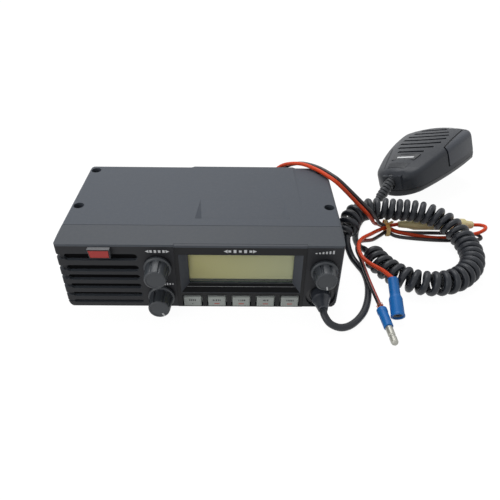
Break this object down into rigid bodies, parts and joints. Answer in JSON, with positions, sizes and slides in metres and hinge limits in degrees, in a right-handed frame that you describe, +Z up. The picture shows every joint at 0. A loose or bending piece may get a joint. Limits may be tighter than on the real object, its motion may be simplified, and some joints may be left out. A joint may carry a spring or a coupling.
{
  "type": "two-way mobile radio with hand microphone",
  "caption": "Slim mobile radio with display, push buttons and knobs, a hand microphone on a curly cord and a fused two-wire power lead",
  "frame": {"origin": "centre of the case's base, on the surface it stands on", "axes": "+Z up, -Y out of the front panel, +X to the right as seen from the front"},
  "size_m": [0.3277, 0.2586, 0.0536],
  "materials": {
    "cover_paint": "fine matt",
    "tray_paint": "matt",
    "bezel_plastic": "fine grain",
    "panel_plastic": "satin",
    "window": "clear",
    "lcd": "satin",
    "badge_block": "satin",
    "badge_plate": "gloss",
    "key_plastic": "matt",
    "keypad_rubber": "matt",
    "knob_plastic": "satin",
    "shaft_steel": "turned",
    "control_metal": "plain",
    "socket_plastic": "satin",
    "speaker_steel": "plain",
    "cone_paper": "matt",
    "board_green": "satin",
    "shield_tin": "bright",
    "transistor_black": "matt",
    "capacitor_blue": "gloss",
    "sink_black": "matt",
    "socket_nickel": "bright",
    "jack_black": "satin",
    "grommet_rubber": "matt",
    "screw_black": "matt",
    "handset_plastic": "fine grain",
    "handset_back": "fine grain",
    "talk_bar": "satin",
    "stud_metal": "satin",
    "capsule_metal": "plain",
    "trim_silver": "bright",
    "relief_rubber": "satin",
    "cord_rubber": "satin",
    "wire_red": "satin",
    "wire_black": "satin",
    "fuse_holder_plastic": "satin",
    "fuse_glass": "clear",
    "terminal_blue": "satin",
    "pin_metal": "bright",
    "tie_plastic": "matt"
  },
  "bodies": {
    "radio": {"bottom_case": "tray_paint", "top_cover": "cover_paint", "front_bezel": "bezel_plastic", "display_panel": "panel_plastic", "display_window": "window", "lcd_panel": "lcd", "badge_block": "badge_block", "badge_plate": "badge_plate", "keypad_membrane": "keypad_rubber", "channel_encoder": "control_metal", "squelch_pot": "control_metal", "volume_pot": "control_metal", "mic_socket": "socket_plastic", "speaker_frame": "speaker_steel", "speaker_cone": "cone_paper", "main_board": "board_green", "front_board": "board_green", "shield_can": "shield_tin", "power_transistor": "transistor_black", "capacitors": "capacitor_blue", "heat_sink": "sink_black", "antenna_socket": "socket_nickel", "speaker_jack": "jack_black", "power_grommet": "grommet_rubber", "case_screws": "screw_black", "mic_front_shell": "handset_plastic", "mic_rear_shell": "handset_back", "hang_up_stud": "stud_metal", "mic_capsule": "capsule_metal", "mic_board": "board_green", "ptt_switch": "jack_black", "mic_screws": "screw_black", "mic_trim_plate": "trim_silver", "mic_strain_relief": "relief_rubber", "mic_plug": "socket_plastic", "mic_lead": "cord_rubber", "mic_coil": "cord_rubber", "mic_tail": "cord_rubber", "power_lead_red": "wire_red", "power_lead_black": "wire_black", "fused_lead_red": "wire_red", "fuse_holder": "fuse_holder_plastic", "fuse_cap": "fuse_holder_plastic", "fuse": "fuse_glass", "socket_terminal": "terminal_blue", "pin_sleeve": "terminal_blue", "pin_contact": "pin_metal", "wire_tie": "tie_plastic"},
    "channel_dial": {"channel_knob": "knob_plastic", "channel_shaft": "shaft_steel"},
    "squelch_dial": {"squelch_knob": "knob_plastic", "squelch_shaft": "shaft_steel"},
    "volume_dial": {"volume_knob": "knob_plastic", "volume_shaft": "shaft_steel"},
    "talk_bar": {"ptt_bar": "talk_bar"},
    "key_1": {"button_1": "key_plastic"},
    "key_2": {"button_2": "key_plastic"},
    "key_3": {"button_3": "key_plastic"},
    "key_4": {"button_4": "key_plastic"},
    "key_5": {"button_5": "key_plastic"}
  },
  "joints": [
    {"name": "channel_turn", "type": "hinge", "parent": "radio", "child": "channel_dial", "pos_m": [-0.0266, -0.0505, 0.0341], "axis": [0, 1, 0], "continuous": true},
    {"name": "squelch_turn", "type": "hinge", "parent": "radio", "child": "squelch_dial", "pos_m": [-0.0262, -0.0505, 0.0104], "axis": [0, 1, 0], "range_deg": [-290, 0]},
    {"name": "volume_turn", "type": "hinge", "parent": "radio", "child": "volume_dial", "pos_m": [0.077, -0.0505, 0.0318], "axis": [0, 1, 0], "range_deg": [0, 300]},
    {"name": "key_1_press", "type": "slide", "parent": "radio", "child": "key_1", "axis": [0, 1, 0], "range_m": [0, 0.0008], "stiffness_N_per_m": 1500, "springref_m": -0.0004},
    {"name": "key_2_press", "type": "slide", "parent": "radio", "child": "key_2", "axis": [0, 1, 0], "range_m": [0, 0.0008], "stiffness_N_per_m": 1500, "springref_m": -0.0004},
    {"name": "key_3_press", "type": "slide", "parent": "radio", "child": "key_3", "axis": [0, 1, 0], "range_m": [0, 0.0008], "stiffness_N_per_m": 1500, "springref_m": -0.0004},
    {"name": "key_4_press", "type": "slide", "parent": "radio", "child": "key_4", "axis": [0, 1, 0], "range_m": [0, 0.0008], "stiffness_N_per_m": 1500, "springref_m": -0.0004},
    {"name": "key_5_press", "type": "slide", "parent": "radio", "child": "key_5", "axis": [0, 1, 0], "range_m": [0, 0.0008], "stiffness_N_per_m": 1500, "springref_m": -0.0004},
    {"name": "talk_press", "type": "slide", "parent": "radio", "child": "talk_bar", "axis": [-0.6799, 0.6407, -0.3567], "range_m": [0, 0.0012], "stiffness_N_per_m": 2000, "springref_m": -0.0008}
  ]
}
